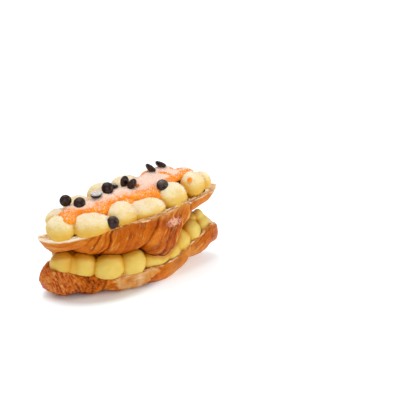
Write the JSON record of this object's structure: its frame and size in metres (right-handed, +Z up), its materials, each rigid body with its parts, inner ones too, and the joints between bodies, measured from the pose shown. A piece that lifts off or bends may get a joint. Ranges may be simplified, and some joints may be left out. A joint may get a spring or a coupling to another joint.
{
  "type": "cream-filled croissant",
  "caption": "Croissant split level and stacked with piped custard cream between the halves and on top, finished with orange fruit jam and chocolate drops.",
  "frame": {"origin": "middle of the pastry's bounding box on the surface it stands on", "axes": "+X along the croissant towards the slim tail of its upper half, +Z up, -Y the side with the chocolate drop between the dollops"},
  "size_m": [0.1625, 0.0678, 0.0863],
  "materials": {
    "crust": "egg-washed golden brown crust, pale and flaky at the cut rim",
    "cream": "smooth satin custard cream with fine pores",
    "jam": "glossy orange jam dusted with icing sugar",
    "chocolate": "semi-gloss dark chocolate"
  },
  "bodies": {
    "root": {"croissant_base": "crust", "cream_filling": "cream", "croissant_lid": "crust", "cream_topping": "cream", "jam": "jam", "chocolate_drop_1": "chocolate", "chocolate_drop_2": "chocolate", "chocolate_drop_3": "chocolate", "chocolate_drop_4": "chocolate", "chocolate_drop_5": "chocolate", "chocolate_drop_6": "chocolate", "chocolate_drop_7": "chocolate", "chocolate_drop_8": "chocolate", "chocolate_drop_9": "chocolate", "chocolate_drop_10": "chocolate", "chocolate_drop_11": "chocolate"}
  },
  "joints": []
}
